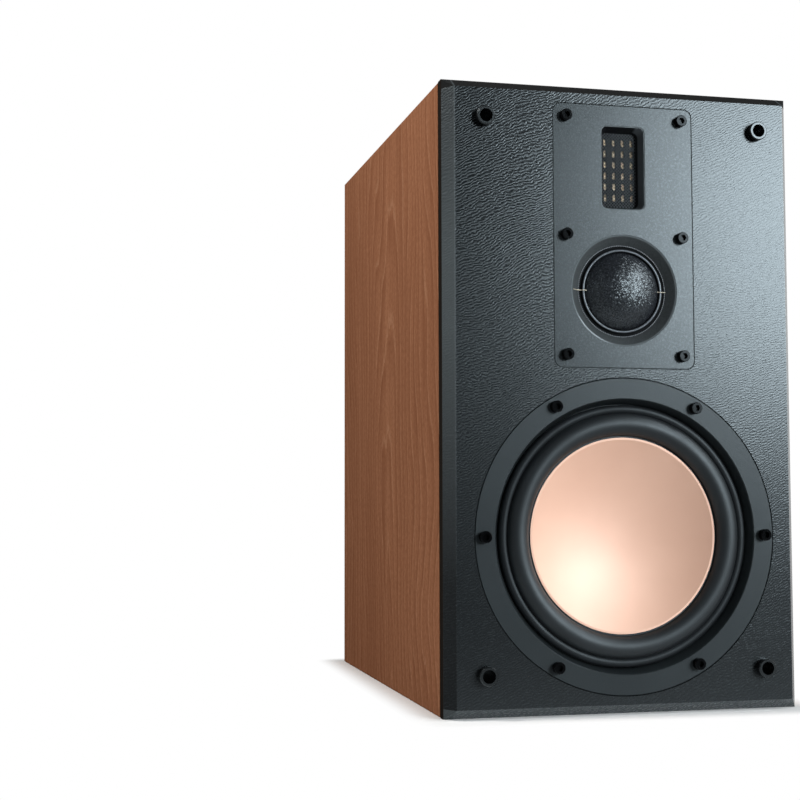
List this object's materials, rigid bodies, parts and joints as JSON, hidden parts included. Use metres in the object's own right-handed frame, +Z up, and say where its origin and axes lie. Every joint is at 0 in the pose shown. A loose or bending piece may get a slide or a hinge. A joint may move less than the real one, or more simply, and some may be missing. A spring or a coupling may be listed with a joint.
{
  "type": "bookshelf speaker",
  "caption": "Three-way bookshelf loudspeaker: veneered box, leather-grained baffle, metal-cone woofer, dome midrange and planar tweeter, with rear port and binding posts.",
  "frame": {"origin": "centre of the cabinet's base, on the surface it stands on", "axes": "+X to the right seen from the front, +Y to the back, so the front faces -Y, +Z up"},
  "size_m": [0.26, 0.3777, 0.44],
  "materials": {
    "veneer": "satin open-pored reddish brown wood veneer, grain upright on the sides",
    "rear_laminate": "satin black laminate on fibreboard",
    "fibreboard": "bare fibreboard",
    "leatherette": "black leather-grained vinyl with a soft sheen",
    "plate_grey": "fine sand-blasted grey with a satin sheen",
    "frame_black": "fine-textured black powder coat",
    "surround_rubber": "satin black rubber",
    "cone_copper": "copper-coloured anodised metal with a satin sheen",
    "screw_black": "black oxide steel",
    "socket_plastic": "black moulded plastic",
    "dome_cloth": "black coated cloth with a glittering weave",
    "mesh_black": "black fine metal mesh",
    "steel": "plated steel",
    "ferrite": "dark grey sintered ferrite",
    "magnet_nickel": "nickel-plated magnet",
    "film_amber": "clear amber film",
    "trace_gold": "gold-coloured metal foil",
    "copper_wire": "enamelled copper winding",
    "former_foil": "thin metal foil",
    "spider_cloth": "impregnated cotton",
    "foam_black": "closed-cell foam",
    "wool": "white polyester wadding",
    "brass_gold": "gold-plated brass",
    "cap_red": "red moulded plastic",
    "cap_black": "black moulded plastic",
    "board_green": "glass-fibre circuit board",
    "capacitor_yellow": "wrapped film capacitor",
    "resistor_cement": "white cement",
    "wire_black": "insulated lead"
  },
  "bodies": {
    "cabinet": {"left_panel": "veneer", "right_panel": "veneer", "top_panel": "veneer", "bottom_panel": "veneer", "rear_panel": "rear_laminate", "front_baffle": "fibreboard", "baffle_skin": "leatherette", "window_brace": "fibreboard", "damping_wool": "wool", "grille_sockets": "socket_plastic", "threaded_inserts": "steel", "woofer_basket": "frame_black", "woofer_gasket": "foam_black", "woofer_screws": "screw_black", "woofer_surround": "surround_rubber", "woofer_spider": "spider_cloth", "woofer_top_plate": "steel", "woofer_magnet": "ferrite", "woofer_yoke": "steel", "woofer_tag_strip": "socket_plastic", "connection_tags": "brass_gold", "upper_plate": "plate_grey", "plate_gasket": "foam_black", "plate_screws": "screw_black", "mid_surround": "dome_cloth", "mid_front_ring": "socket_plastic", "mid_top_plate": "steel", "mid_magnet": "ferrite", "mid_yoke": "steel", "mid_rear_chamber": "socket_plastic", "tweeter_mesh": "mesh_black", "tweeter_front_plate": "screw_black", "tweeter_rear_plate": "steel", "tweeter_magnets": "magnet_nickel", "tweeter_spacers": "socket_plastic", "tweeter_back_cover": "socket_plastic", "terminal_cup": "socket_plastic", "terminal_screws": "screw_black", "post_studs": "brass_gold", "post_bushes": "socket_plastic", "post_nuts": "brass_gold", "port_tube": "socket_plastic", "crossover_board": "board_green", "crossover_supports": "socket_plastic", "crossover_inductors": "copper_wire", "crossover_capacitors": "capacitor_yellow", "crossover_resistors": "resistor_cement", "wiring_loom": "wire_black"},
    "woofer_diaphragm": {"woofer_cone": "cone_copper", "woofer_former": "former_foil", "woofer_voice_coil": "copper_wire"},
    "mid_diaphragm": {"mid_dome": "dome_cloth", "mid_voice_coil": "copper_wire"},
    "tweeter_diaphragm": {"tweeter_film": "film_amber", "tweeter_traces": "trace_gold"},
    "black_clamp": {"black_washer": "brass_gold"},
    "black_knob": {"black_cap": "cap_black"},
    "red_clamp": {"red_washer": "brass_gold"},
    "red_knob": {"red_cap": "cap_red"}
  },
  "joints": [
    {"name": "woofer_stroke", "type": "slide", "parent": "cabinet", "child": "woofer_diaphragm", "axis": [0, -1, 0], "range_m": [-0.006, 0.006], "stiffness_N_per_m": 1000, "deforming": ["woofer_surround", "woofer_spider"]},
    {"name": "mid_stroke", "type": "slide", "parent": "cabinet", "child": "mid_diaphragm", "axis": [0, -1, 0], "range_m": [-0.001, 0.001], "stiffness_N_per_m": 800, "deforming": ["mid_surround"]},
    {"name": "tweeter_stroke", "type": "slide", "parent": "cabinet", "child": "tweeter_diaphragm", "axis": [0, -1, 0], "range_m": [-0.0002, 0.0002], "stiffness_N_per_m": 500, "deforming": ["tweeter_film"]},
    {"name": "black_cap_lift", "type": "slide", "parent": "cabinet", "child": "black_clamp", "axis": [0, 1, 0], "range_m": [0, 0.005]},
    {"name": "black_cap_turn", "type": "hinge", "parent": "black_clamp", "child": "black_knob", "pos_m": [-0.016, 0.172, 0.1], "axis": [0, 1, 0], "range_deg": [0, 1800]},
    {"name": "red_cap_lift", "type": "slide", "parent": "cabinet", "child": "red_clamp", "axis": [0, 1, 0], "range_m": [0, 0.005]},
    {"name": "red_cap_turn", "type": "hinge", "parent": "red_clamp", "child": "red_knob", "pos_m": [0.016, 0.172, 0.1], "axis": [0, 1, 0], "range_deg": [0, 1800]}
  ],
  "couplings": [
    {"joint": "black_cap_turn", "follows": "black_cap_lift", "rad_per_m": 6283.2},
    {"joint": "red_cap_turn", "follows": "red_cap_lift", "rad_per_m": 6283.2}
  ]
}
